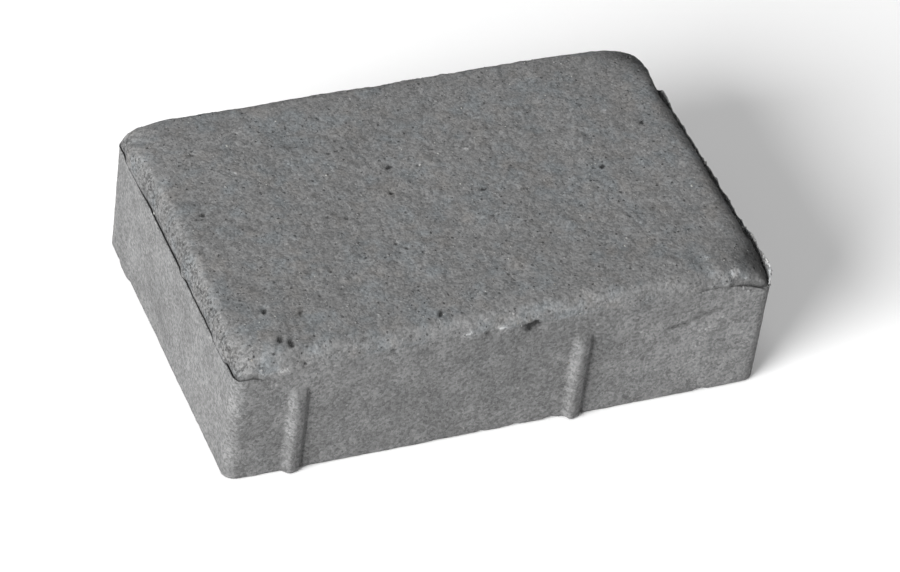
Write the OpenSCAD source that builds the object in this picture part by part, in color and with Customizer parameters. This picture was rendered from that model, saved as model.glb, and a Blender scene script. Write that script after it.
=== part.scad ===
// Concrete paving stone, pressed in one piece: straight mould-cut sides, a thin fin
// standing round the top edge, a pillowed wearing face inside it, and spacer ribs.
// Origin: middle of the bedding face. +Z up, +X along the length. Millimetres.

/* [Block] */
// Length of the block between its two end faces
block_l = 217; // [160:1:320]
// Width of the block between its two long faces, without the ribs
block_w = 140; // [100:1:220]
// Height from the bedding face to the middle of the wearing face
block_h = 60; // [50:1:100]
// Radius of the four upright corners
corner_r = 4; // [3:0.5:10]

/* [Pressed fin round the top edge] */
// How far the top of the fin lies below the wearing face
fin_drop = 9.5; // [3:0.5:12]
// Thickness of the fin
fin_t = 0.9; // [0.6:0.1:2]
// Depth of the groove behind the fin
groove_d = 1.2; // [0.6:0.1:3]
// Width of the groove at its foot
groove_w = 0.6; // [0.3:0.1:2]

/* [Rolled shoulder] */
// Width of the shoulder in plan, from the groove to the flat of the wearing face
shoulder_w = 6; // [4:0.5:16]
// Squareness of the shoulder's curve, where 2 is a quarter of an ellipse
shoulder_p = 3; // [2:0.5:4]
// Extra rounding of the corners at the top of the shoulder
shoulder_corner_r = 26; // [0:1:30]
// Height of the waves along the shoulder
wave_a = 0.5; // [0:0.1:2]
// Number of short waves round the block
wave_n = 27; // [9:1:41]

/* [Spacer ribs] */
// Width of a rib where it meets the long face
rib_w = 9; // [5:0.5:14]
// How far a rib stands out of the long face
rib_out = 2.5; // [1:0.1:4]
// Distance from the fin's top edge down to the top of a rib
rib_top_gap = 8; // [6:1:25]
// Distance of the first rib from its end face
rib_1_x = 26; // [20:1:60]
// Distance of the second rib from the same end face
rib_2_x = 139; // [70:1:150]

/* [Hidden] */
stone_colour = [0.50, 0.51, 0.51];

fin_z = block_h - fin_drop;              // top of the fin
groove_z = fin_z - groove_d;             // foot of the groove
groove_in = fin_t + groove_w;            // where the shoulder starts, in from the side faces
shoulder_h = block_h - groove_z;         // rise of the shoulder
sunk = 4;                                // how deep the pillow is rooted in the block
rib_r = rib_w * rib_w / (8 * rib_out) + rib_out / 2;   // radius of the rib's round back
rib_h = fin_z - rib_top_gap;             // top of the ribs

long_steps = 40;                         // spans along a long side of the pillow
short_steps = 26;                        // spans along an end
corner_steps = 6;                        // spans round a corner
shoulder_steps = 8;                      // spans up the shoulder

// Points along a straight side from a to b, without b
function side_points(a, b, n) = [for (i = [0 : n - 1]) a + (b - a) * i / n];

// Points round a quarter circle of radius r about c, starting at angle a0, without the last
function corner_points(c, r, a0) =
    [for (i = [0 : corner_steps - 1])
        let (a = a0 + 90 * i / corner_steps) c + r * [cos(a), sin(a)]];

// Closed plan outline at a distance inset inside the block, with corner radius r, anticlockwise
function outline(inset, r) =
    let (x = block_l / 2 - inset, y = block_w / 2 - inset, cx = x - r, cy = y - r)
    concat(
        corner_points([cx, cy], r, 0), side_points([cx, y], [-cx, y], long_steps),
        corner_points([-cx, cy], r, 90), side_points([-x, cy], [-x, -cy], short_steps),
        corner_points([-cx, -cy], r, 180), side_points([-cx, -y], [cx, -y], long_steps),
        corner_points([cx, -cy], r, 270), side_points([x, -cy], [x, cy], short_steps));

ring_n = 2 * (long_steps + short_steps) + 4 * corner_steps;

// Wave along the shoulder, from -1 to 1: short presses of the mould over a slow wander
function wave(i) =
    let (a = 360 * i / ring_n) 0.6 * sin(wave_n * a + 40) + 0.4 * sin(7 * a + 110);

// One ring of the pillow: outline shrunk towards the middle where the wave is low
function pillow_ring(inset, z, r, swing) =
    let (flat = outline(inset, r))
    [for (i = [0 : ring_n - 1])
        let (p = flat[i], k = 1 - swing * (1 + wave(i)) / norm(p)) [p.x * k, p.y * k, z]];

// Rings from the sunk root up the shoulder to the flat: a quarter of a squared ellipse, whose
// sine and cosine are taken to the power 2 / shoulder_p
pillow_rings = concat(
    [pillow_ring(groove_in, groove_z - sunk, corner_r, 0)],
    [for (k = [0 : shoulder_steps])
        let (t = k / shoulder_steps)
        pillow_ring(
            groove_in + shoulder_w * (1 - pow(cos(90 * t), 2 / shoulder_p)),
            groove_z + shoulder_h * pow(sin(90 * t), 2 / shoulder_p),
            corner_r + shoulder_corner_r * t,
            wave_a * t)]);

// The straight-sided block, its top hollowed by the groove plane so that the fin stands round it
module block() {
    difference() {
        linear_extrude(fin_z) polygon(outline(0, corner_r));
        translate([0, 0, groove_z])
            linear_extrude(fin_z) polygon(outline(fin_t, corner_r - fin_t));
    }
}

// The pillow under the wearing face: rings joined by triangles, closed by a fan at each end
module pillow() {
    top = len(pillow_rings) - 1;
    foot_middle = (top + 1) * ring_n;
    walls = [for (k = [0 : top - 1], i = [0 : ring_n - 1])
        let (j = (i + 1) % ring_n, a = k * ring_n, b = a + ring_n)
        each [[a + i, b + j, a + j], [a + i, b + i, b + j]]];
    foot = [for (i = [0 : ring_n - 1]) [i, (i + 1) % ring_n, foot_middle]];
    flat = [for (i = [0 : ring_n - 1])
        [top * ring_n + (i + 1) % ring_n, top * ring_n + i, foot_middle + 1]];
    middles = [[0, 0, groove_z - sunk], [0, 0, block_h]];
    points = concat([for (ring = pillow_rings) each ring], middles);
    polyhedron(points, concat(walls, foot, flat));
}

// One spacer rib on the front face, its foot on the bedding plane and its head rounded off
module rib() {
    head = rib_h - rib_r;
    back = rib_out - rib_r;
    intersection() {
        translate([0, -back, 0]) union() {
            cylinder(r = rib_r, h = head, $fn = 48);
            translate([0, 0, head]) sphere(r = rib_r, $fn = 48);
        }
        translate([-rib_w, -rib_out - 1, 0]) cube([2 * rib_w, rib_out + 3, rib_h + 1]);
    }
}

// The two ribs of the front face; the back face has the same two, half a turn round
module ribs() {
    for (turn = [0, 180], x = [rib_1_x, rib_2_x])
        rotate([0, 0, turn]) translate([x - block_l / 2, -block_w / 2, 0]) rib();
}

module paving_stone() {
    color(stone_colour) union() {
        block();
        pillow();
        ribs();
    }
}

paving_stone();
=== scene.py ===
# A pressed concrete paving stone: the wearing face, the moulded sides and the bedding face in
# one closed skin, with sand and grit half sunk in it. A length is in millimetres where no note
# beside it says metres.
from functools import partial

import bpy
import numpy as np
from mathutils import Matrix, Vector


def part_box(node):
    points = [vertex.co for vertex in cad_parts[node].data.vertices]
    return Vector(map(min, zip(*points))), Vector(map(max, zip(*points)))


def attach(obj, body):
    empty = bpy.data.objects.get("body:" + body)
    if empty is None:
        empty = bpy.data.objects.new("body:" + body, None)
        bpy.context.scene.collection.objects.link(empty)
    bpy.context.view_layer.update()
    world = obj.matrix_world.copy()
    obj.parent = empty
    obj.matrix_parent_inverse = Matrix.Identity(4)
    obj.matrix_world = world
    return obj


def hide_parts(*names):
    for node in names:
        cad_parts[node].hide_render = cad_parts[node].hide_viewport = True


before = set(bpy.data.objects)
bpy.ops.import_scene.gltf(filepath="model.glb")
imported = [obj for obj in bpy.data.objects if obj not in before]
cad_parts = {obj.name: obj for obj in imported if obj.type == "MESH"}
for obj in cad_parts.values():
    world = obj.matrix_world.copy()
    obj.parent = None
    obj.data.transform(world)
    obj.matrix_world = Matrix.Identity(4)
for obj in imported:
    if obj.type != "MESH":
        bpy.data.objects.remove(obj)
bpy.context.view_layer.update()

mm = 0.001

lowCorner, highCorner = [np.array(corner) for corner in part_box("paving_stone")]
print("frame loaded, stone box", np.round((highCorner - lowCorner) / mm, 1), "mm")


# Surface maths shared by the pieces

def easeBetween(value, low, high):
    # 0 below low, 1 above high, and t * t * (3 - 2 * t) in between
    t = np.clip((value - low) / (high - low), 0, 1)
    return t * t * (3 - 2 * t)


def softNoise(points, cell, seed):
    # noise from -1 to 1: random numbers on a cubic lattice of that cell, eased together
    # along each axis between the eight lattice corners round a point
    side = 64
    table = np.random.default_rng(seed).uniform(-1, 1, (side, side, side))
    turn = np.array(Matrix.Rotation(0.6, 3, (1, 2, 3)))    # hides the lattice's own directions,
    place = points @ turn / cell + 0.37 * side             # and its middle
    base = np.floor(place).astype(int)
    part = place - base
    part = part * part * (3 - 2 * part)
    total = np.zeros(len(points))
    for corner in np.ndindex(2, 2, 2):
        weight = np.prod(np.where(corner, part, 1 - part), axis=1)
        total += weight * table[tuple(((base + corner) % side).T)]
    return total


def roundSpots(points, cell, radius, share, seed):
    # round spots in space: that share of the lattice cells hold one, at a random place and of a
    # random radius between the two given; the value is 1 - (distance / radius) squared, or 0
    side = 48
    draw = np.random.default_rng(seed)
    place = draw.random((side, side, side, 3))
    size = draw.uniform(radius[0], radius[1], (side, side, side))
    size[draw.random((side, side, side)) > share] = 1e-9
    base = np.floor(points / cell).astype(int)
    best = np.zeros(len(points))
    for step in np.ndindex(3, 3, 3):
        corner = base + step - 1
        key = tuple((corner % side).T)
        away = np.linalg.norm(points - (corner + place[key]) * cell, axis=1)
        best = np.maximum(best, 1 - (away / size[key]) ** 2)
    return best


def capsuleShare(points, start, end, radius):
    # 1 on the line from start to end and 0 at that radius from it: (1 - (distance / radius)^2)^2
    start, end = np.array(start) * mm, np.array(end) * mm
    line = end - start
    along = np.clip((points - start) @ line / max(line @ line, 1e-12), 0, 1)
    away = np.linalg.norm(points - start - along[:, None] * line, axis=1) / (radius * mm)
    return np.clip(1 - away ** 2, 0, 1) ** 2


def makeMesh(name, points, faces, loopCounts):
    # one mesh from arrays: points, the corners of all faces in a row, and how many each face has
    mesh = bpy.data.meshes.new(name)
    mesh.vertices.add(len(points))
    mesh.vertices.foreach_set("co", points.astype(np.float32).ravel())
    mesh.loops.add(len(faces))
    mesh.loops.foreach_set("vertex_index", faces.astype(np.int32))
    mesh.polygons.add(len(loopCounts))
    starts = np.concatenate([[0], np.cumsum(loopCounts)[:-1]])
    mesh.polygons.foreach_set("loop_start", starts.astype(np.int32))
    mesh.update(calc_edges=True)
    mesh.shade_smooth()
    piece = bpy.data.objects.new(name, mesh)
    bpy.context.scene.collection.objects.link(piece)
    return piece


def setShare(piece, name, values):
    # a number at each vertex that the materials read by name
    layer = piece.data.attributes.new(name, "FLOAT", "POINT")
    layer.data.foreach_set("value", values.astype(np.float32))


# The stone

stone = {
    "skin": 0.4,              # how far the smooth faces lie inside the box, so that sand can stand proud
    "ribOut": 2.5,            # how far a spacer rib stands out of a long face
    "ribWide": 9.0,           # width of a rib at its foot
    "ribPlaces": (26, 139),   # distance of the ribs from the end face on their left
    "ribTop": 42.5,           # height of the heads of the ribs
    "ribHead": 5,             # a head begins to die away this far below its top
    "ribSink": 0.3,           # share of its height by which a rib sinks towards its right
    "creaseWide": 0.45,       # crease along the right of a rib
    "creaseDeep": 0.5,
    "cornerRadius": 5.0,      # upright corners
    "finDrop": 9.5,           # top of the pressed fin below the wearing face
    "finThick": 0.9,
    "grooveWide": 0.6,        # gap between the fin and the shoulder
    "grooveDeep": 1.4,        # foot of the gap below the top of the fin
    "shoulderWide": 6.0,      # rolled edge of the wearing face, in plan
    "shoulderSquare": 3.0,    # 2 would be a quarter of an ellipse
    "rightWide": 8.6,         # the same two at the right end, where the edge is rounder
    "rightSquare": 2.4,
    "rightReach": 45,         # over this length the edge turns into that of the right end
    "footRadius": 2.0,        # upright corners at the foot of the shoulder
    "shoulderCorner": 26.0,   # extra rounding of the four corners of the wearing face
    "flatMargin": 16.0,       # from the rolled edge in to the square middle of the mesh
    "flatRows": 12,           # mesh spans over that margin
    "shoulderRows": 13,       # mesh spans down the shoulder
    "longSteps": 228,         # mesh spans along the length
    "shortSteps": 130,        # mesh spans across the width
    "wallSteps": 43,          # mesh spans down a side
    "closeSteps": (6, 0.9),   # mm on each side of a rib where the spans are closer, and by how much
    "bedMargin": 5.5,         # from the side face in to the square middle of the bedding face
    "waveHigh": 0.6,          # the shoulder wanders in and out by this
    "waveLong": 26.0,         # length of one such wave
    "waveCalm": 0.6,          # share of it that is missing at the right end
    "raggedCells": (3.1, 1.3),    # mm, the two sizes of the fin's ragged steps
    "finRagged": 0.15,        # share of the fin that they take off or put on
    "dustAndShade": 0.82,             # how dark the painted shade is on the shoulder that looks to the right, away from the key light,
    "shadeTop": (0.06, 0.16, 0.32, 0.5),    # and on the first rings at its top
    # how strongly the fin stands along each side: (distance in mm, share from 0 to 1), measured
    # from the left end on the long faces and from the front on the ends
    "finFront": [(0, 1), (7, 0.9), (11, 0.3), (17, 0), (183, 0), (188, 0.45), (193, 0.45), (197, 0.15),
                 (201, 0.8), (217, 1)],
    "finLeft": [(0, 1), (10, 1), (13, 0.35), (24, 0.3), (28, 0.75), (58, 0.7), (61, 0.2), (65, 0.8),
                (100, 0.85), (113, 0.45), (128, 0.25), (132, 0.9), (140, 0.5)],
    "finRight": [(0, 1), (9, 1), (15, 0.75), (22, 0.95), (29, 0.7), (60, 0.8), (95, 0.75), (110, 1),
                 (118, 0.3), (128, 0), (140, 0)],
    "finBack": [(0, 0.35), (5, 0), (87, 0), (108, 0.35), (123, 0.05), (193, 0), (217, 0)],
    # how much higher or lower than that the fin's top is along the front and the right end, in mm
    "riseFront": [(0, 0), (188, 0), (200, 1.2), (207, 0.6), (213, -2.4), (217, -2.4)],
    "riseRight": [(0, -2.4), (2.5, 1.5), (5, 5.2), (20, 6.2), (112, 6.2), (125, 1.5), (140, 0)],
    # how much higher the foot of the shoulder runs along the front, in mm
    "footFront": [(0, 0), (150, 0), (184, 3.4), (197, 3.2), (203, 0.8), (208, 0)],
}

innerMargin = sum(stone[key] for key in ("finThick", "grooveWide", "shoulderWide", "flatMargin"))
footRow = stone["flatRows"] + stone["shoulderRows"]    # the first ring past the shoulder
sideRow = footRow + 6                                  # the first ring down the side face
finTop = slice(footRow + 2, sideRow)                   # the rings over the top of the fin


def spacedPlaces(count, halfLength, thick, reach, weight):
    # count + 1 places from -1 to 1: even steps of the running total of a density of one plus a
    # bell of that weight about each of the thick places
    fine = np.linspace(-1, 1, 4001)
    away = (fine[:, None] * halfLength - np.array(thick)) / reach
    total = np.cumsum(1 + weight * np.exp(-away ** 2).sum(axis=1))
    total = (total - total[0]) / (total[-1] - total[0])
    return np.interp(np.linspace(0, 1, count + 1), total, fine)


def alongEdge(name, distance):
    # the value at each distance, on straight lines between the pairs of that list
    return np.interp(distance, *np.transpose(stone[name]))


def walkRound(xs, ys):
    # once round the square from -1 to 1, anticlockwise from its right back corner: x and y of each
    # point and the number of its side: 0 the back, 1 the left end, 2 the front, 3 the right end
    onesX, onesY = np.ones(len(xs) - 1), np.ones(len(ys) - 1)
    ringX = np.concatenate([xs[:0:-1], -onesY, xs[:-1], onesY])
    ringY = np.concatenate([onesX, ys[:0:-1], -onesX, ys[:-1]])
    side = np.repeat(np.arange(4), [len(onesX), len(onesY)] * 2)
    return ringX, ringY, side


def profileRows(high, wide, square):
    # the section through the edge, from the square middle of the wearing face out and down to
    # the bedding face. Each row: how far in from the side face and how high, once where there is
    # no fin and once where there is one, and the corner radius there
    topOfFin = high - stone["finDrop"]
    plainFoot = topOfFin - 0.5
    foot = topOfFin - stone["grooveDeep"]
    gap = stone["finThick"] + stone["grooveWide"]
    outer, tight = stone["cornerRadius"], stone["footRadius"]
    rounded = outer + stone["shoulderCorner"]

    t = np.linspace(0, 1, stone["flatRows"] + 1)[1:]
    flat = np.stack([innerMargin + (wide - innerMargin) * t, 0 * t + high,
                     innerMargin + (gap + wide - innerMargin) * t, 0 * t + high, rounded * t], axis=1)

    # shoulder: a quarter of a squared ellipse, level at its top and upright at its foot; its sine
    # and cosine are taken to the power 2 / square
    turn = np.linspace(1, 0, stone["shoulderRows"] + 1)[1:]
    inwards = 1 - np.maximum(np.cos(turn * np.pi / 2), 0) ** (2 / square)
    upwards = np.sin(turn * np.pi / 2) ** (2 / square)
    shoulder = np.stack([wide * inwards, plainFoot + (high - plainFoot) * upwards,
                         gap + wide * inwards, foot + (high - foot) * upwards,
                         tight + (rounded - tight) * turn], axis=1)

    # groove and fin: down into the gap, up the back of the fin, over it and onto the side face
    thick = stone["finThick"]
    fin = np.array([(thick + 0.3, foot - 0.3), (thick, foot), (thick, topOfFin - 0.4),
                    (0.75 * thick, topOfFin - 0.05), (0.35 * thick, topOfFin), (0, topOfFin - 0.35)])
    down = plainFoot - np.linspace(0.2, 1.5, len(fin))
    radius = tight + (outer - tight) * np.array([0, 0, 0.35, 0.5, 0.8, 1])
    edge = np.stack([0 * down, down, fin[:, 0], fin[:, 1], radius], axis=1)

    z = np.linspace(plainFoot - 2.2, 1.5, stone["wallSteps"])
    wall = np.stack([0 * z, z, 0 * z, z, 0 * z + outer], axis=1)
    under = np.array([(0.05, 0.95), (0.25, 0.45), (0.7, 0.12), (1.5, 0), (3.2, 0)])
    radius = np.array([6, 5.8, 5.5, 5, 3]) / 6 * outer
    bottom = np.column_stack([under, under, radius])
    return np.concatenate([flat, shoulder, edge, wall, bottom]) * mm


def sweepEdge(ringX, ringY, side, half, high):
    # rings carried round the profile: between the even and the right-hand section by how near the
    # right end is, between the plain and the finned section by the fin's share, then round the
    # corners, where each point is pushed out from the inner rectangle by the corner radius
    lengthways = (ringX + 1) * half[0] / mm
    crossways = (ringY + 1) * half[1] / mm
    even = profileRows(high, stone["shoulderWide"], stone["shoulderSquare"])
    right = profileRows(high, stone["rightWide"], stone["rightSquare"])
    atRight = easeBetween(ringX * half[0] / mm, half[0] / mm - stone["rightReach"], half[0] / mm)
    rows = even[:, None, :] + (right - even)[:, None, :] * atRight[:, None]
    plainIn, plainHigh, finIn, finHigh, radius = np.moveaxis(rows, 2, 0)

    finShare = np.choose(side, [alongEdge("finBack", lengthways), alongEdge("finLeft", crossways),
                                alongEdge("finFront", lengthways), alongEdge("finRight", crossways)])
    ringPlace = np.stack([ringX * half[0], ringY * half[1], 0 * ringX], axis=1)
    coarse, fine = stone["raggedCells"]
    ragged = softNoise(ringPlace, coarse * mm, 11) + 0.6 * softNoise(ringPlace, fine * mm, 12)
    finShare = np.clip(finShare * (1 + stone["finRagged"] * ragged), 0, 1)

    # the top of the fin rises or dips; the foot of the shoulder takes the rings above it along by
    # less and less, and so it does the first seven rings of the side
    finRise = np.choose(side, [0, 0, alongEdge("riseFront", lengthways),
                               alongEdge("riseRight", crossways)])
    onFin = np.zeros((len(even), 1))
    onFin[finTop] = np.array([[1], [1], [1], [0.9]])
    z = plainHigh + (finHigh + finRise * mm * onFin - plainHigh) * finShare
    footRise = alongEdge("footFront", lengthways) * (side == 2)
    onFoot = np.clip((high * mm - even[:, 1]) / (high * mm - even[footRow, 1]), 0, 1)
    onFoot[sideRow:] = np.clip(1 - np.arange(1, len(even) - sideRow + 1) / 7, 0, 1)
    z = z + footRise * mm * onFoot[:, None]

    wave = softNoise(ringPlace, 0.5 * stone["waveLong"] * mm, 13) * (1 - stone["waveCalm"] * atRight)
    rolled = easeBetween(finIn, 1.5 * mm, 9 * mm)
    inset = plainIn + (finIn - plainIn) * finShare
    inset = inset + stone["waveHigh"] * mm * (0.5 + wave) * rolled
    reachX, reachY = half[0] - inset, half[1] - inset
    x, y = ringX * reachX, ringY * reachY
    coreX = np.clip(x, radius - reachX, reachX - radius)
    coreY = np.clip(y, radius - reachY, reachY - radius)
    away = np.maximum(np.hypot(x - coreX, y - coreY), 1e-12)
    outX, outY = (x - coreX) / away, (y - coreY) / away
    return coreX + radius * outX, coreY + radius * outY, z, finShare, outX, plainHigh


def raiseRibs(x, y, z, outwards, allowed, places):
    # y moved out over each spacer rib: eased up on the left, sinking slowly to the right and
    # ending there in a small step beside a crease, dying away at the head; two on the front and
    # the same two half a turn round on the back
    halfRib = stone["ribWide"] / 2
    for place in places:
        across = np.where(outwards < 0, x / mm - place, -x / mm - place)
        rise = easeBetween(across, -halfRib, -0.25 * halfRib)
        fall = 1 - stone["ribSink"] * easeBetween(across, -0.1 * halfRib, 0.6 * halfRib)
        flank = rise * fall * easeBetween(-across, -0.84 * halfRib, -0.5 * halfRib)
        head = easeBetween(-z / mm, -stone["ribTop"] - 0.5, stone["ribHead"] - stone["ribTop"])
        aside = (across - 0.87 * halfRib) / stone["creaseWide"]
        crease = stone["creaseDeep"] * np.exp(-aside ** 2) * head
        y = y + outwards * (stone["ribOut"] * flank * head - crease) * mm * allowed
    return y


def flatGrid(placesX, placesY, height):
    # every pair of places, all at one height; the places along y run fastest
    gridX, gridY = np.meshgrid(placesX, placesY, indexing="ij")
    return np.stack([gridX, gridY, 0 * gridX + height], axis=2).reshape(-1, 3)


def gridCorners(countX, countY, first):
    # the quads of such a grid, its points numbered from first, and the numbers once round its
    # border in the order of walkRound
    index = first + np.arange(countX * countY).reshape(countX, countY)
    cells = np.stack([index[:-1, :-1], index[1:, :-1], index[1:, 1:], index[:-1, 1:]], axis=2)
    border = np.concatenate([index[:0:-1, -1], index[0, :0:-1], index[:-1, 0], index[-1, :-1]])
    return cells.reshape(-1, 4), border


def skinFaces(xCount, yCount, rowCount):
    # quads over the top grid, between each two rings and over the bed. The last ring has two spans
    # to one of the bed's border, so three triangles join them: m is the middle point of the two,
    # a and d are their ends, b and c the ends of the one
    ringCount = 2 * (xCount + yCount - 2)
    topCells, topBorder = gridCorners(xCount, yCount, 0)
    ringIndex = xCount * yCount + np.arange(rowCount * ringCount).reshape(-1, ringCount)
    last = ringIndex[-1]
    bedCells, bedBorder = gridCorners((xCount + 1) // 2, (yCount + 1) // 2, last[-1] + 1)
    lines = np.concatenate([topBorder[None], ringIndex])
    ahead = np.roll(lines, -1, axis=1)
    ringCells = np.stack([lines[:-1], lines[1:], ahead[1:], ahead[:-1]], axis=2).reshape(-1, 4)
    a, m, d = last[::2], last[1::2], np.roll(last, -2)[::2]
    b, c = bedBorder, np.roll(bedBorder, -1)
    steps = np.concatenate([np.stack(t, axis=1) for t in ((m, a, b), (m, b, c), (m, c, d))])
    quads = np.concatenate([topCells, ringCells, bedCells[:, ::-1]])
    faces = np.concatenate([quads.ravel(), steps.ravel()])
    counts = np.concatenate([np.full(len(quads), 4), np.full(len(steps), 3)])
    return faces, counts


def edgeShares(finShare, outX, z, side, topCount, bedCount):
    # three shares at each point, all 0 on both grids: crisp, where fin and groove stay sharp under the
    # relief; gap, painted shade in the groove and down the shoulder that looks to the right, away from
    # the key light; and the painted light on the top of the fin on the right end
    crisp, gap, dustAndShade, paintedFinLight = np.zeros((4, *z.shape))
    crisp[footRow - 1:sideRow] = finShare
    # painted shade in the groove behind the fin
    gap[footRow - 1:footRow + 2] = np.array([[0.7], [1], [0.8]]) * finShare
    # painted shade down the shoulder that looks to the right, which the key light from the left does not
    # reach
    shadedRings = dustAndShade[stone["flatRows"] + 1:footRow + 2]
    shadedRings[:] = stone["dustAndShade"]
    shadedRings[:len(stone["shadeTop"])] = np.array(stone["shadeTop"])[:, None]
    gap = np.maximum(gap, dustAndShade * easeBetween(outX, 0.25, 0.8) * easeBetween(z, 0, 0.1 * mm))
    # painted light on the top of the fin at the right end, which the stone's own shoulder shades from
    # the key light
    paintedFinLight[finTop] = finShare * (side == 3)
    shares = np.stack([crisp, gap, paintedFinLight]).reshape(3, -1)
    return np.pad(shares, ((0, 0), (topCount, bedCount)))


def buildStone():
    # a grid over the middle of the wearing face, rings of points carried round the profile from
    # it, and a grid of half as many spans over the bedding face
    skin = stone["skin"] * mm
    half = (highCorner - lowCorner)[:2] / 2 - skin
    half[1] -= stone["ribOut"] * mm
    high = (highCorner[2] - lowCorner[2] - skin) / mm
    ribs = np.array(stone["ribPlaces"]) - half[0] / mm
    xs = spacedPlaces(stone["longSteps"], half[0] / mm, [*ribs, *-ribs], *stone["closeSteps"])
    ys = np.linspace(-1, 1, stone["shortSteps"] + 1)

    ringX, ringY, side = walkRound(xs, ys)
    x, y, z, finShare, outX, plainHigh = sweepEdge(ringX, ringY, side, half, high)
    belowFin = plainHigh < (high - stone["finDrop"] - 1) * mm
    y = raiseRibs(x, y, z, np.sign(ringY), (side % 2 == 0) & belowFin, ribs)
    rings = np.stack([x, y, z], axis=2).reshape(-1, 3)

    inner = half - innerMargin * mm
    top = flatGrid(xs * inner[0], ys * inner[1], high * mm)
    bed = half - stone["bedMargin"] * mm
    under = flatGrid(xs[::2] * bed[0], ys[::2] * bed[1], 0)
    points = np.concatenate([top, rings, under])
    piece = makeMesh("stone", points, *skinFaces(len(xs), len(ys), len(z)))
    shares = edgeShares(finShare, outX, z, side, len(top), len(under))
    return piece, points, shares


stonePiece, stonePoints, stoneShares = buildStone()
print("stone skin laid out,", len(stonePiece.data.polygons), "faces")


front = lowCorner[1] / mm + stone["ribOut"] + stone["skin"]    # the front's y, mm
face = highCorner[2] / mm - stone["skin"]                      # the wearing face's height, mm

relief = {
    "slow": (38, 0.30, 0.18),       # cell in mm, height on the wearing face, height on the sides
    "lumps": (9, 0.16, 0.10),
    "coarse": (3.4, 0.15, 0.08),
    "sand": (1.7, 0.13, 0.07),
    "crispness": 0.85,              # share of the relief that is left off the fin and the groove
    "pitCell": 4.3,                 # one open pit at most in each cell of this size,
    "pitShare": 0.55,               # and in this share of them
    "pitRadius": (0.5, 1.15),
    "pitDeep": 0.7,
    "pitBunch": 14,                 # across a patch of many or of few pits
    "closed": 0.22,                 # strength of the pits on the closed sides
    "stoneCell": 6.0,               # proud stones, in the same way
    "stoneShare": 0.6,
    "stoneRadius": (0.9, 2.0),
    "stoneHigh": 0.28,
    "stoneTone": 0.10,              # paler by this
    "chipCell": 8.5,                # bites out of the arrises, in the same way
    "chipShare": 0.5,
    "chipRadius": (1.2, 3.2),
    "chipDeep": 0.8,
    "chipTone": 0.25,               # darker by this along the foot
    "paintedFinLightTone": 0.6,              # painted light: paler by this on the top of the fin at the right end
    "wander": 0.9,                  # how far the border between open face and closed side wanders
    "wanderCell": 4,
    "borderSoft": 1.2,              # half the width of that border
    "drawnUp": 2.2,                 # how much higher it runs in the middle of the front,
    "drawnMore": 1.2,               # and how much more at its right end and less at its left
    # holes and stones that the eye picks out: from, to, radius and depth, all in mm, and a tone from -1,
    # dark, to 1, white, where the dark of a hole is painted shade; a negative depth stands proud. The
    # last two are broad patches that make the front paler towards its right end and a little darker near
    # its middle
    "marks": [
        ((8, front, 51), (10.5, front, 52), 2.5, 2.1, -0.9),
        ((5, front, 52), (6, front, 52.5), 1.3, 0.6, -0.5),
        ((-17.5, front, 53.5), (-16, front, 53.5), 1.5, -0.3, 0.9),
        ((-4, front, 53.5), (-2.5, front, 53), 1.2, -0.3, 0.9),
        ((-9.5, front, 52.5), (-9, front, 52.5), 1.2, 0.4, -0.7),
        ((-90, front, 52.5), (-88, front, 52.5), 2, -0.3, 0.7),
        ((91, -67, face - 2.5), (92.5, -66, face - 2), 2.3, -0.3, 1),
        ((82, -58.5, face), (82.5, -58, face), 1.1, -0.2, 0.9),
        ((16.5, 22, face), (17, 22, face), 1.1, -0.1, 0.9),
        ((-74, 30.5, face), (-73.5, 30.5, face), 1.2, -0.2, 0.8),
        ((-65.5, 54, face), (-64.5, 54, face), 2.2, -0.2, 0.35),
        ((77.5, 30, face), (78.5, 30, face), 1.2, -0.2, 0.7),
        ((93.5, 15.5, face), (94, 15.5, face), 2, -0.5, 0.3),
        ((-101.5, 32, face), (-99.5, 34, face), 2.2, -0.2, 0.35),
        ((-88.5, -61.5, face), (-88.5, -61, face), 1.3, 0.9, -1),
        ((-85, -64.5, face), (-85, -63, face), 1.3, 1, -1),
        ((-76.5, -49.5, face), (-76, -49, face), 1.2, 0.8, -0.8),
        ((-89, -45.5, face), (-88.5, -44.5, face), 1.2, 0.9, -0.8),
        ((-92.5, -54.5, face), (-92, -54, face), 1.2, 0.9, -0.9),
        ((-26.5, -63, face), (-25.5, -62, face), 1.2, 0.8, -0.8),
        ((-58.5, -67, face - 1.5), (-58, -67, face - 1.5), 1.3, 0.9, -0.9),
        ((-47, front, 52.5), (-46, front, 52.5), 1, 0.8, -0.7),
        ((-16.5, 19.5, face), (-15, 20, face), 1.2, 0.8, -0.9),
        ((-20.5, 5, face), (-20, 5, face), 1.1, 0.6, -0.7),
        ((14.5, -1.5, face), (15, -1.5, face), 1.2, 0.8, -0.8),
        ((-94, 10.5, face), (-94, 11, face), 1.2, 0.8, -0.9),
        ((-87.5, 44, face), (-87, 44.5, face), 1, 0.7, -0.7),
        ((64, -0.5, face), (65, 0, face), 1.1, 0.7, -0.8),
        ((89.5, 20, face), (90, 21, face), 1.1, 0.8, -0.8),
        ((-49.5, 40.5, face), (-46, 41, face), 2.6, 0.3, -0.3),
        ((66, front, 36.5), (73.5, front, 38), 1.3, 0.4, -0.65),
        ((75.5, front, 39), (85.5, front, 42), 1.2, 0.35, -0.5),
        ((73.5, front, 35), (97.5, front, 39), 3.2, 0, 0.1),
        ((77.5, front, 32.5), (96.5, front, 33.5), 1.3, -0.2, 0.2),
        ((-108.5, 47.5, 1), (-108.5, 51.5, 1), 5, -0.8, 0),
        ((72, front, 16), (104, front, 34), 34, 0, 0.22),
        ((-28, front, 22), (6, front, 24), 26, 0, -0.05),
    ],
}


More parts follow.
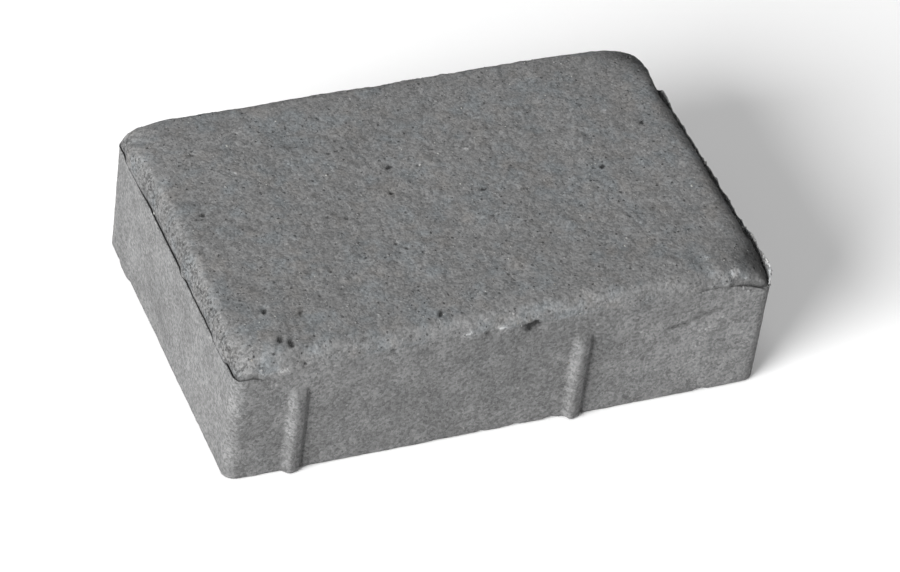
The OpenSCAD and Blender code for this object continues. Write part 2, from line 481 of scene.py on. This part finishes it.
def skinBorders(points, normals):
    # three shares from 0 to 1: the open wearing face, above a wandering line; the open bedding face; and
    # of the wearing face the shoulder that looks to the left, towards the key light, which the material
    # paints darker as shade and gives stronger grains. On the front the mould drew the closed skin of
    # the side further up, most at the right end
    wander = softNoise(points, relief["wanderCell"] * mm, 21) * relief["wander"] * mm
    along = points[:, 0] / highCorner[0]
    drawn = (relief["drawnUp"] + relief["drawnMore"] * along) * mm
    start = highCorner[2] - stone["finDrop"] * mm + easeBetween(-normals[:, 1], 0.3, 0.8) * drawn
    soft = relief["borderSoft"] * mm
    wearing = easeBetween(points[:, 2] + wander, start - soft, start + soft)
    bedding = easeBetween(-points[:, 2] - wander * 0.3, -0.6 * mm, 0)
    leftwards = easeBetween(-normals[:, 0], 0.05, 0.5)
    rolled = wearing * easeBetween(1 - normals[:, 2], 0.02, 0.55) * leftwards
    return wearing, bedding, rolled


def roughen(piece, points, crisp, gap, paintedFinLight):
    # moves every point along its normal by the sum of the noises, pits, proud stones, chips and
    # marks, then keeps it inside the box; the same sums give the shares that the material reads
    normals = np.empty(len(points) * 3, np.float32)
    piece.data.vertex_normals.foreach_get("vector", normals)
    normals = normals.reshape(-1, 3).astype(float)
    wearing, bedding, rolled = skinBorders(points, normals)
    opened = np.maximum(wearing, bedding)

    lift = np.zeros(len(points))
    for seed, name in enumerate(("slow", "lumps", "coarse", "sand")):
        cell, onFace, onSides = relief[name]
        amount = onSides + (onFace - onSides) * opened
        lift += softNoise(points, cell * mm, 31 + seed) * amount * mm

    reach = [r * mm for r in relief["pitRadius"]]
    bunched = easeBetween(softNoise(points, relief["pitBunch"] * mm, 40), -0.35, 0.3)
    pits = roundSpots(points, relief["pitCell"] * mm, reach, relief["pitShare"], 41) * bunched
    openness = relief["closed"] + (1 - relief["closed"]) * opened
    lift -= pits * relief["pitDeep"] * mm * openness
    reach = [r * mm for r in relief["stoneRadius"]]
    proud = roundSpots(points, relief["stoneCell"] * mm, reach, relief["stoneShare"], 42)
    lift += np.sqrt(proud) * relief["stoneHigh"] * mm * (0.35 + 0.65 * openness)

    # chips lie where the slope turns: along the bottom edge and the top of the sides
    topEdge = highCorner[2] - stone["finDrop"] * mm
    nearTop = np.exp(-((points[:, 2] - topEdge - 0.6 * mm) / (2.2 * mm)) ** 2)
    nearFoot = np.exp(-(points[:, 2] / (1.6 * mm)) ** 2) * (np.abs(normals[:, 2]) < 0.97)
    reach = [r * mm for r in relief["chipRadius"]]
    chips = roundSpots(points, relief["chipCell"] * mm, reach, relief["chipShare"], 43)
    lift -= chips * relief["chipDeep"] * mm * np.clip(0.6 * nearTop + nearFoot, 0, 1)

    tone = relief["stoneTone"] * proud - relief["chipTone"] * chips * nearFoot
    # painted light on the top of the fin at the right end
    tone += relief["paintedFinLightTone"] * paintedFinLight
    for start, end, radius, deep, shade in relief["marks"]:
        share = capsuleShare(points, start, end, radius)
        lift -= share * deep * mm
        tone += np.sqrt(share) * shade
    free = 1 - np.clip(crisp, 0, 1) * relief["crispness"]
    moved = points + normals * (lift * free)[:, None]
    moved = np.clip(moved, lowCorner, highCorner)
    piece.data.vertices.foreach_set("co", moved.astype(np.float32).ravel())
    piece.data.update()

    # the gap share holds painted shade in the groove and down the shoulder that looks to the right
    shares = {"wearing": wearing, "bedding": bedding, "rolled": rolled, "pitted": pits * openness,
              "paintedShade": gap, "tone": tone}
    for name, values in shares.items():
        setShare(piece, name, np.clip(values, -1, 1))


roughen(stonePiece, stonePoints, *stoneShares)
print("relief pressed into the stone")


# Sand and grit that the press left half sunk in the skin

grit = {
    # how many grains, their smallest and largest radius in mm, and whether they lie on the wearing
    # face and its shoulder or else on the sides and the bedding face
    "pieces": {
        "face_grit": (5000, (0.32, 0.82), True),
        "face_sand": (9500, (0.22, 0.52), True),
        "side_grit": (7000, (0.25, 0.6), False),
    },
    "sunk": (0.62, 0.96),         # how much of its radius a grain's middle lies under the skin
    "sizePower": 2.2,             # the higher, the fewer large grains
    "uneven": 0.22,               # a grain's corners lie nearer or further by this share
    "stretch": (0.65, 1.25),
    "brightness": (0.9, 1.12),
    "firstSeed": 51,
    # sRGB colour and how many of a hundred grains have it
    "faceColours": [("#6a6a6a", 40), ("#5c5d5e", 20), ("#787877", 20), ("#8a8a87", 6), ("#48494b", 12),
                    ("#706e69", 2)],
    "sideColours": [("#5f5f5f", 52), ("#555555", 18), ("#6a6a69", 19), ("#7a7a78", 5), ("#4c4d4d", 4),
                    ("#67635d", 2)],
}


def linearColour(hexCode):
    # an sRGB hex value turned to linear: c / 12.92 below 0.04045, else ((c + 0.055) / 1.055)^2.4
    c = np.array([int(hexCode[i:i + 2], 16) for i in (1, 3, 5)]) / 255
    c = np.where(c < 0.04045, c / 12.92, ((c + 0.055) / 1.055) ** 2.4)
    return (*c, 1.0)


def grainShape():
    # twelve corners and twenty faces: the rectangles of the golden ratio, all on a unit ball
    g = (1 + 5 ** 0.5) / 2
    corners = np.array([(-1, g, 0), (1, g, 0), (-1, -g, 0), (1, -g, 0), (0, -1, g), (0, 1, g),
                        (0, -1, -g), (0, 1, -g), (g, 0, -1), (g, 0, 1), (-g, 0, -1), (-g, 0, 1)])
    faces = np.array([(0, 11, 5), (0, 5, 1), (0, 1, 7), (0, 7, 10), (0, 10, 11), (1, 5, 9), (5, 11, 4),
                      (11, 10, 2), (10, 7, 6), (7, 1, 8), (3, 9, 4), (3, 4, 2), (3, 2, 6), (3, 6, 8),
                      (3, 8, 9), (4, 9, 5), (2, 4, 11), (6, 2, 10), (8, 6, 7), (9, 8, 1)])
    return corners / np.linalg.norm(corners[0]), faces


def pickPlaces(draw, count, onFace):
    # places on the skin, picked by area among the triangles of the wearing face or of the rest,
    # each at a random mix of its triangle's corners, with the skin's normal there
    mesh = stonePiece.data
    mesh.calc_loop_triangles()
    corner = np.empty(len(mesh.loop_triangles) * 3, np.int32)
    mesh.loop_triangles.foreach_get("vertices", corner)
    place = np.empty(len(mesh.vertices) * 3, np.float32)
    mesh.vertices.foreach_get("co", place)
    normal = np.empty_like(place)
    mesh.vertex_normals.foreach_get("vector", normal)
    wearing = np.empty(len(mesh.vertices), np.float32)
    mesh.attributes["wearing"].data.foreach_get("value", wearing)
    place, normal = place.reshape(-1, 3), normal.reshape(-1, 3)
    corner = corner.reshape(-1, 3)
    a, b, c = (place[corner[:, k]] for k in range(3))
    area = np.linalg.norm(np.cross(b - a, c - a), axis=1)
    share = wearing[corner].mean(axis=1)
    area = area * (share if onFace else 1 - share)
    pick = draw.choice(len(area), count, p=area / area.sum())
    mix = draw.dirichlet((1, 1, 1), count)[:, :, None]
    middle = (place[corner[pick]] * mix).sum(axis=1)
    up = (normal[corner[pick]] * mix).sum(axis=1)
    return middle, up / np.linalg.norm(up, axis=1, keepdims=True)


def scatterGrit(name, count, radius, colours, onFace, seed):
    # one piece of many grains: each is a unit ball with uneven corners, stretched, turned at
    # random, sized with few large ones (a random number to a power) and sunk along the normal
    draw = np.random.default_rng(seed)
    middle, up = pickPlaces(draw, count, onFace)
    corners, faces = grainShape()
    size = radius[0] + (radius[1] - radius[0]) * draw.random(count) ** grit["sizePower"]
    size = size * mm
    sunk = draw.uniform(*grit["sunk"], count)
    shape = corners * (1 + draw.uniform(-grit["uneven"], grit["uneven"], (count, len(corners), 1)))
    shape = shape * draw.uniform(*grit["stretch"], (count, 1, 3))
    turn = np.linalg.qr(draw.normal(size=(count, 3, 3)))[0]
    turn *= np.sign(np.linalg.det(turn))[:, None, None]
    shape = np.einsum("nij,nkj->nki", turn, shape) * size[:, None, None]
    points = shape + (middle - up * (sunk * size)[:, None])[:, None, :]
    points = np.clip(points.reshape(-1, 3), lowCorner, highCorner)
    allFaces = (faces + np.arange(count)[:, None, None] * len(corners)).reshape(-1)
    piece = makeMesh(name, points, allFaces, np.full(count * len(faces), 3))

    shade = np.array([linearColour(code) for code, _ in colours])
    odds = np.array([part for _, part in colours], float)
    colour = shade[draw.choice(len(colours), count, p=odds / odds.sum())]
    colour[:, :3] *= draw.uniform(*grit["brightness"], (count, 1))
    layer = piece.data.attributes.new("grainColour", "FLOAT_COLOR", "POINT")
    layer.data.foreach_set("color", np.repeat(colour, len(corners), axis=0).astype(np.float32).ravel())
    return piece


gritPieces = []
for name, (count, radius, onFace) in grit["pieces"].items():
    colours = grit["faceColours"] if onFace else grit["sideColours"]
    seed = grit["firstSeed"] + len(gritPieces)
    gritPieces.append(scatterGrit(name, count, radius, colours, onFace, seed))
print("grit set in,", sum(len(piece.data.polygons) for piece in gritPieces), "faces")


# Materials

def addNode(tree, kind, inputs=(), **settings):
    # puts in a node: settings are its own choices; inputs, by name or in the node's own order, are
    # each a value to set, a socket to link, or a node whose first output is linked
    node = tree.nodes.new("ShaderNode" + kind)
    for name, value in settings.items():
        setattr(node, name, value)
    for name, value in inputs.items() if isinstance(inputs, dict) else enumerate(inputs):
        if isinstance(value, bpy.types.Node):
            value = value.outputs[0]
        if isinstance(value, bpy.types.NodeSocket):
            tree.links.new(value, node.inputs[name])
        else:
            node.inputs[name].default_value = value
    return node


def newMaterial(name):
    # an empty material and its node tree
    material = bpy.data.materials.new(name)
    material.use_nodes = True
    tree = material.node_tree
    tree.nodes.clear()
    return material, tree


# node settings that come up often
plus = {"operation": "ADD"}
minus = {"operation": "SUBTRACT"}
times = {"operation": "MULTIPLY"}
smooth = {"interpolation_type": "SMOOTHSTEP"}

concrete = {
    "face": "#676767",        # cement paste and fine sand of the wearing face
    "side": "#5f5f5f",        # the closed skin that the steel mould drew up the sides
    "bed": "#5f5f5f",
    "cool": "#62696d",
    "warm": "#6a6764",
    "tints": (0.04, 0.42),    # strength of the cool and warm clouds on the sides and on the face
    "tintSize": 11,           # mm across a cool or a warm cloud
    "cloudSize": 17,          # mm across the slow changes from pale to dark
    "clouds": (0.13, 0.07),   # strength of those on the closed sides and on the open faces
    "blotchSize": 5,          # mm across a darker or lighter patch
    "blotches": (0.93, 1.07),     # factors of the darkest and the palest
    "sandSize": 1.15,         # mm, sharp sand
    "fineSize": 0.55,         # mm, the finest that shows
    "cellSize": 0.95,         # mm, grains that each have a tone of their own
    "sandTone": 0.14,         # the three sizes of grain are paler or darker by this
    "fineTone": 0.14,
    "cellTone": 0.26,
    "grains": (0.98, 0.86),   # strength of the grains' tones on the closed and on the open faces
    "rolledGrains": 2.1,      # times this on the shoulder that looks to the left,
    "paintedShoulderShade": 0.62,      # where the colour is also painted darker as shade
    "poreSize": 2.2,          # mm between the small open pores
    "poreWide": (0.08, 0.26),     # their radius as a share of that
    "sidePores": 0.25,        # strength of the pores on the closed sides
    "poreDark": 0.6,          # painted shade: how much pores, pits, the gap behind the fin and the shoulder that looks to the right darken
    "pitDark": 0.58,
    "paintedShadeDark": 0.85,
    "darkest": 0.92,          # the most that they darken together
    "speckSize": 4.2,         # mm between pale specks of quartz
    "speckPale": 1.45,
    "holeShade": 0.25,         # painted shade: factor for a marked hole
    "stoneTone": 1.7,         # factor for a marked stone
    "faintest": 0.3,          # the most that a mark changes the tone of its ragged surroundings
    "sandHigh": 0.16,         # mm, relief too fine for the mesh
    "fineHigh": 0.06,
    "cellHigh": -0.07,        # below zero: the middle of a grain is its top
    "poreDeep": 0.45,
    "sideRelief": 0.5,        # strength of that relief on the closed sides
    "roughness": (0.97, 0.85),    # between the grains and on them
    "ior": 1.5,
}


def pressedConcrete():
    # dry-mix concrete pressed in a steel mould: a matt grey, open and sandy on the wearing face
    # and closed on the sides, so the eye sees grains and pores above and a dull, cloudy skin beside
    # the colour carries painted shade in pores, pits, marked holes and the groove behind the fin, down
    # the shoulder that looks to the right and on the shoulder that looks to the left, and painted light
    # on the top of the fin at the right end
    material, tree = newMaterial("pressedConcrete")
    add = partial(addNode, tree)
    wearing, bedding, rolled, pitted, paintedShade, mark = (
        add("Attribute", attribute_name=name).outputs["Fac"]
        for name in ("wearing", "bedding", "rolled", "pitted", "paintedShade", "tone"))
    openSkin = add("Math", (wearing, bedding), operation="MAXIMUM")

    # patterns: noises by their size, detail and roughness, then cells by their size
    place = add("TexCoord").outputs["Object"]
    tint, cloud, blotch, sand, fine = (
        add("TexNoise", {"Vector": place, "Scale": 1 / (concrete[size] * mm), "Detail": detail,
                         "Roughness": rough})
        for size, detail, rough in (("tintSize", 2, 0.6), ("cloudSize", 2, 0.6), ("blotchSize", 3, 0.6),
                                    ("sandSize", 2, 0.7), ("fineSize", 1, 0.6)))
    cells, pores, specks = (add("TexVoronoi", {"Vector": place, "Scale": 1 / (concrete[size] * mm)})
                            for size in ("cellSize", "poreSize", "speckSize"))
    tintParts, cellParts, poreParts, speckParts = (
        add("SeparateColor", (node.outputs["Color"],)).outputs for node in (tint, cells, pores, specks))

    # colour: side, face and bed, clouded with cool and warm tints
    tinted = add("MapRange", (wearing, 0, 1, *concrete["tints"]), **smooth)
    cool = add("MapRange", (tintParts[0], 0.45, 0.7), **smooth)
    warm = add("MapRange", (tintParts[1], 0.5, 0.72), **smooth)
    base = linearColour(concrete["side"])
    amounts = {"face": wearing, "bed": bedding, "cool": add("Math", (cool, tinted), **times),
               "warm": add("Math", (warm, tinted), **times)}
    for name, amount in amounts.items():
        mixed = add("Mix", {0: amount, 6: base, 7: linearColour(concrete[name])}, data_type="RGBA")
        base = mixed.outputs[2]

    # tone: one plus the grains, times one plus the clouds, times the blotches
    grains = 0
    for source, low, high, size in ((sand, 0.3, 0.7, "sandTone"), (fine, 0.25, 0.75, "fineTone"),
                                    (cellParts[0], 0, 1, "cellTone")):
        own = add("MapRange", (source, low, high, -concrete[size], concrete[size]), **smooth)
        grains = add("Math", (own, grains), **plus)
    for factor in (add("MapRange", (openSkin, 0, 1, *concrete["grains"]), **smooth),
                   add("MapRange", (rolled, 0, 1, 1, concrete["rolledGrains"]), **smooth)):
        grains = add("Math", (grains, factor), **times)
    clouds = add("Math", (add("MapRange", (cloud, 0.3, 0.7, -1, 1), **smooth),
                          add("MapRange", (openSkin, 0, 1, *concrete["clouds"]), **smooth)), **times)
    tone = add("MapRange", (blotch, 0.3, 0.7, *concrete["blotches"]), **smooth)
    for change in (clouds, grains):
        tone = add("Math", (tone, add("Math", (change, 1), **plus)), **times)

    # small open pores: the middle of some cells falls away, painted dark as shade, more of them in some
    # clouds
    crowding = add("Math", (add("Math", (tint, 0.5), **minus), 1.5), **times)
    poreHere = add("MapRange", (add("Math", (poreParts[0], crowding), **plus), 0.52, 0.62), **smooth)
    poreWide = add("Math", (add("MapRange", (poreParts[1], 0, 1, *concrete["poreWide"]), **smooth),
                            add("MapRange", (fine, 0.3, 0.7, -0.08, 0.08), **smooth)), **plus)
    pore = add("MapRange", (add("Math", (poreWide, pores), **minus), 0, 0.09), **smooth)
    for factor in (poreHere, add("MapRange", (openSkin, 0, 1, concrete["sidePores"], 1), **smooth)):
        pore = add("Math", (pore, factor), **times)

    # pale specks of quartz in the middle of some cells
    speckWide = add("Math", (add("MapRange", (speckParts[2], 0.4, 1, 0, 0.15), **smooth),
                             add("Math", (cells, 0.06), **times)), **plus)
    speck = add("MapRange", (add("Math", (speckWide, specks), **minus), 0, 0.05), **smooth)

    # pits and marks get ragged edges from the sand round them, and pits and marked holes are painted
    # dark as shade; a mark also has a faint halo
    uneven = add("Math", (add("Math", (sand, 0.5), **minus), 1.3), **times)
    pit = add("MapRange", (add("Math", (pitted, uneven), **plus), 0.3, 0.6), **smooth)
    below, above = add("Math", (uneven, mark), **minus), add("Math", (uneven, mark), **plus)
    hole = add("MapRange", (below, 0.35, 0.6, 1, concrete["holeShade"]), **smooth)
    pale = add("MapRange", (above, 0.5, 0.7, 1, concrete["stoneTone"]), **smooth)
    faint = add("Math", (mark, -concrete["faintest"]), operation="MAXIMUM")
    faint = add("Math", (faint, concrete["faintest"]), operation="MINIMUM")
    # painted shade in pores, pits, the groove and down the shoulder that looks to the right
    dark = 0
    for share, name in ((pore, "poreDark"), (pit, "pitDark"), (paintedShade, "paintedShadeDark")):
        dark = add("Math", (add("Math", (share, concrete[name]), **times), dark), **plus)
    dark = add("Math", (dark, concrete["darkest"]), operation="MINIMUM")
    # the tone times the painted shade of pores, pits and the groove, the painted shade of the shoulder
    # that looks to the left, the halo, holes, stones and specks
    for factor in (add("Math", (1, dark), **minus),
                   add("MapRange", (rolled, 0, 1, 1, concrete["paintedShoulderShade"]), **smooth),
                   add("Math", (faint, 1), **plus), hole, pale,
                   add("MapRange", (speck, 0, 1, 1, concrete["speckPale"]), **smooth)):
        tone = add("Math", (tone, factor), **times)
    colour = add("VectorMath", {0: base, "Scale": tone}, operation="SCALE")

    # relief too fine for the mesh, in mm
    height = 0
    for source, name in ((sand, "sandHigh"), (fine, "fineHigh"), (cells, "cellHigh")):
        height = add("Math", (add("Math", (source, concrete[name]), **times), height), **plus)
    strength = add("MapRange", (openSkin, 0, 1, concrete["sideRelief"], 1), **smooth)
    height = add("Math", (height, strength), **times)
    height = add("Math", (height, add("Math", (pore, concrete["poreDeep"]), **times)), **minus)
    bump = add("Bump", {"Height": height, "Distance": mm, "Strength": 1.0})
    rough = add("MapRange", (sand, 0.3, 0.7, *concrete["roughness"]), **smooth)
    surface = add("BsdfPrincipled", {"Base Color": colour, "Roughness": rough, "IOR": concrete["ior"],
                                     "Normal": bump})
    add("OutputMaterial", {"Surface": surface})
    return material


grainCoat = {
    "dustSize": 0.5,          # mm across a patch of cement dust
    "dustTone": (0.85, 1.12),
    "dustHigh": 0.15,         # mm
    "roughness": 0.85,
    "ior": 1.5,
}


def sandGrains():
    # river sand and crushed grit, each grain thinly coated in cement: matt, with its own tone
    material, tree = newMaterial("sandGrains")
    add = partial(addNode, tree)
    place = add("TexCoord").outputs["Object"]
    own = add("Attribute", attribute_name="grainColour").outputs["Color"]
    dustAndShade = add("TexNoise", {"Vector": place, "Scale": 1 / (grainCoat["dustSize"] * mm), "Detail": 2})
    tone = add("MapRange", (dustAndShade, 0.3, 0.7, *grainCoat["dustTone"]))
    colour = add("VectorMath", {0: own, "Scale": tone}, operation="SCALE")
    bump = add("Bump", {"Height": dustAndShade, "Distance": grainCoat["dustHigh"] * mm})
    surface = add("BsdfPrincipled", {"Base Color": colour, "Roughness": grainCoat["roughness"],
                                     "IOR": grainCoat["ior"], "Normal": bump})
    add("OutputMaterial", {"Surface": surface})
    return material


stonePiece.data.materials.append(pressedConcrete())
grainMaterial = sandGrains()
for piece in gritPieces:
    piece.data.materials.append(grainMaterial)
for piece in (stonePiece, *gritPieces):
    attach(piece, "root")
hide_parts("paving_stone")
print("materials on")


# Studio: pale floor, one large soft light low on the left, a dimmer one above, a dim even fill

studio = {
    "floorColour": "#f3f3f3",
    "floorHalf": 6.0,         # metres from the middle to the floor's edge
    "floorGap": 0.1,          # mm under the stone
    "keyTurn": 25,            # degrees that the lights stand in front of the left end
    "keyRise": 22,            # degrees above the floor
    "keyWatts": 462,
    "topRise": 89,            # almost straight above
    "topWatts": 65,
    "lampAway": 4.5,          # metres from the stone to either light
    "lampWide": 3.0,          # metres
    "fill": 0.22,             # strength of the even surrounding light
}


def setLamp(name, turn, rise, watts):
    # a round lamp that looks at the stone from that many degrees round from the left end and up
    light = bpy.data.lights.new(name, "AREA")
    light.shape = "DISK"
    light.size = studio["lampWide"]
    light.energy = watts
    lamp = bpy.data.objects.new(name, light)
    turn, rise = np.radians(turn), np.radians(rise)
    back = np.array([-np.cos(turn) * np.cos(rise), -np.sin(turn) * np.cos(rise), np.sin(rise)])
    side = np.array([-back[1], back[0], 0]) / np.hypot(back[0], back[1])
    pose = np.eye(4)
    pose[:3, :3] = np.column_stack([side, np.cross(back, side), back])
    pose[:3, 3] = back * studio["lampAway"]
    lamp.matrix_world = Matrix(pose)
    bpy.context.scene.collection.objects.link(lamp)


def setStudio():
    # the floor is one square just under the stone; the fill is a white world
    corners = np.array([(-1, -1, 0), (1, -1, 0), (1, 1, 0), (-1, 1, 0)]) * studio["floorHalf"]
    corners[:, 2] = lowCorner[2] - studio["floorGap"] * mm
    floor = makeMesh("floor", corners, np.arange(4), [4])
    material, tree = newMaterial("paperFloor")
    surface = addNode(tree, "BsdfPrincipled", {"Base Color": linearColour(studio["floorColour"]),
                                               "Roughness": 0.9, "Specular IOR Level": 0.2})
    addNode(tree, "OutputMaterial", {"Surface": surface})
    floor.data.materials.append(material)

    setLamp("keyLight", studio["keyTurn"], studio["keyRise"], studio["keyWatts"])
    setLamp("topLight", studio["keyTurn"], studio["topRise"], studio["topWatts"])
    world = bpy.data.worlds.new("studioAir")
    world.use_nodes = True
    background = world.node_tree.nodes["Background"]
    background.inputs["Color"].default_value = (1, 1, 1, 1)
    background.inputs["Strength"].default_value = studio["fill"]
    bpy.context.scene.world = world
    bpy.context.scene.view_settings.view_transform = "Standard"


camera = {
    "azimuth": -26.51,        # degrees; 0 looks along +Y
    "elevation": 41.83,
    "roll": 8.13,
    "away": 1.7248,           # metres from the middle of the bedding face
    "right": 0.00778,         # metres that the camera is moved across its own view
    "up": 0.00878,
    "lens": 178.10,           # mm
    "sensor": 36,             # mm wide
}


def setCamera():
    # back = away from the stone, along the azimuth and elevation; the other two axes are turned
    # about it by the roll
    azimuth, elevation, roll = (np.radians(camera[k]) for k in ("azimuth", "elevation", "roll"))
    back = np.array([np.sin(azimuth) * np.cos(elevation), -np.cos(azimuth) * np.cos(elevation),
                     np.sin(elevation)])
    level = np.array([np.cos(azimuth), np.sin(azimuth), 0])
    steep = np.cross(back, level)
    right = np.cos(roll) * level + np.sin(roll) * steep
    up = np.cos(roll) * steep - np.sin(roll) * level
    pose = np.eye(4)
    pose[:3, :3] = np.column_stack([right, up, back])
    pose[:3, 3] = back * camera["away"] + right * camera["right"] + up * camera["up"]
    data = bpy.data.cameras.new("camera")
    data.lens = camera["lens"]
    data.sensor_width = camera["sensor"]
    viewer = bpy.data.objects.new("camera", data)
    viewer.matrix_world = Matrix(pose)
    bpy.context.scene.collection.objects.link(viewer)
    bpy.context.scene.camera = viewer


setStudio()
setCamera()
print("studio and camera set")
